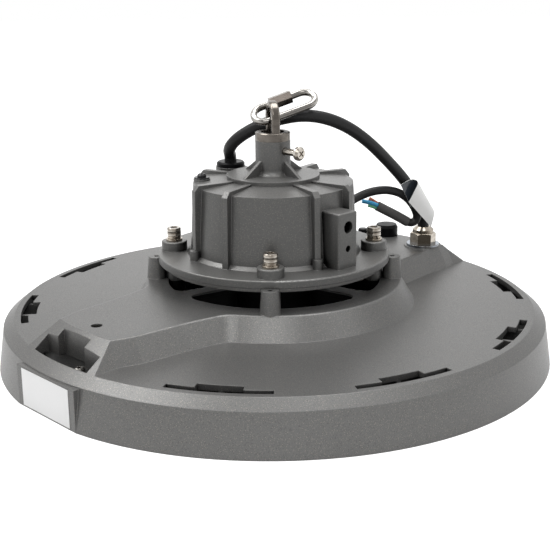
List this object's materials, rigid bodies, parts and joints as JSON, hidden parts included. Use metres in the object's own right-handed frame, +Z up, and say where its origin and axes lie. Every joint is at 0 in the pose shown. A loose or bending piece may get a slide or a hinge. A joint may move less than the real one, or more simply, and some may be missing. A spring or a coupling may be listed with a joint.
{
  "type": "high bay light",
  "caption": "Round cast high bay light with a ribbed driver housing on pegs, a hanging eye with a quick link, and a cable to a gland.",
  "frame": {"origin": "centre of the lower rim, on the surface that the light stands on", "axes": "+Z up along the axis of the round body, -Y towards the viewer of the picture"},
  "size_m": [0.4, 0.4, 0.1871],
  "materials": {
    "grey_casting": "fine textured dark grey powder coat",
    "grey_sheet": "dark grey powder coat",
    "aluminium": "bare milled aluminium",
    "white_board": "white solder mask",
    "chip": "yellow phosphor",
    "black_rubber": "moulded silicone",
    "clear_lens": "clear polycarbonate",
    "nickel": "nickel plate, satin",
    "zinc": "bright zinc plate",
    "black_steel": "black oxide",
    "driver_module": "potted electronics",
    "black_plastic": "moulded nylon",
    "label": "blank white sticker",
    "black_cable": "smooth cable sheath",
    "blue": "core insulation",
    "brown": "core insulation",
    "earth": "green and yellow core insulation",
    "tag": "blank white strip"
  },
  "bodies": {
    "lamp": {"lamp_housing": "grey_casting", "driver_housing": "grey_casting", "driver_base_cover": "grey_sheet", "led_plate": "aluminium", "led_board": "white_board", "led_chips": "chip", "lens_gasket": "black_rubber", "lens_plate": "clear_lens", "bezel_ring": "grey_sheet", "bezel_screws": "nickel", "led_plate_screws": "nickel", "cover_screws": "nickel", "top_screw_washer": "black_steel", "top_screw": "black_steel", "ridge_screw": "nickel", "lug_screw": "nickel", "set_screw": "nickel", "flat_washers": "nickel", "spring_washers": "nickel", "flange_screws": "nickel", "cover_gasket": "black_rubber", "driver_module": "driver_module", "hook_eye": "nickel", "top_gland": "black_plastic", "rear_gland": "black_plastic", "lamp_gland_washer": "nickel", "lamp_gland_body": "nickel", "lamp_gland_cap": "nickel", "vent_plug": "black_plastic", "small_plug": "black_plastic", "blank_label": "label", "lamp_cable": "black_cable", "mains_lead": "black_cable", "blue_core": "blue", "brown_core": "brown", "earth_core": "earth", "cable_tag": "tag"},
    "link": {"link_body": "zinc"},
    "nut": {"link_nut": "zinc"}
  },
  "joints": [
    {"name": "link_swing", "type": "hinge", "parent": "lamp", "child": "link", "pos_m": [-0.00289, 0.01, 0.17376], "axis": [0, -1, 0], "range_deg": [0, 38]},
    {"name": "nut_travel", "type": "slide", "parent": "link", "child": "nut", "axis": [0.9195, 0.2578, 0.2968], "range_m": [0, 0.0065]}
  ]
}
